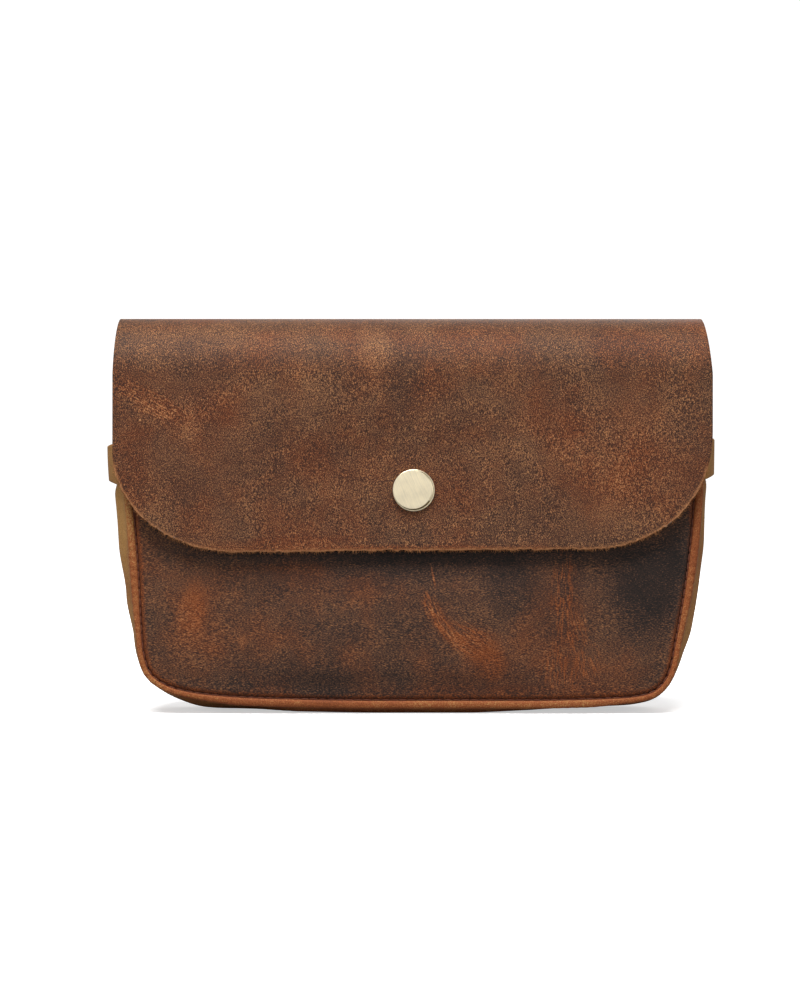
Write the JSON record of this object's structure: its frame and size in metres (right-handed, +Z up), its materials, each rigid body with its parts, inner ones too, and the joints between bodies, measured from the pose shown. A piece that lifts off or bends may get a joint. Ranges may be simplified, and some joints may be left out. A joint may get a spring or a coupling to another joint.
{
  "type": "leather flap belt pouch",
  "caption": "Slim worn-leather pouch with a gusset, a fold-over flap with rounded corners, a round brass snap and side loops.",
  "frame": {"origin": "on the resting surface, under the middle of the pouch", "axes": "+X to the wearer's side on the right of the picture, -Y to the front with the flap and snap, +Z up"},
  "size_m": [0.2223, 0.0445, 0.143],
  "materials": {
    "flap_leather": "oiled pull-up leather, brown, speckled grain, worn orange patches",
    "front_leather": "oiled pull-up leather, dark brown, worn orange at rubs and folds",
    "gusset_leather": "oiled pull-up leather, tan, stretched lighter",
    "loop_leather": "tan leather with raw cut edges",
    "brass": "pale brushed brass",
    "inner_brass": "plain dull brass"
  },
  "bodies": {
    "root": {"back_and_flap": "flap_leather", "front_panel": "front_leather", "gusset": "gusset_leather", "loop_left": "loop_leather", "loop_right": "loop_leather", "snap_cap": "brass", "snap_socket": "inner_brass", "snap_stud": "inner_brass"}
  },
  "joints": []
}
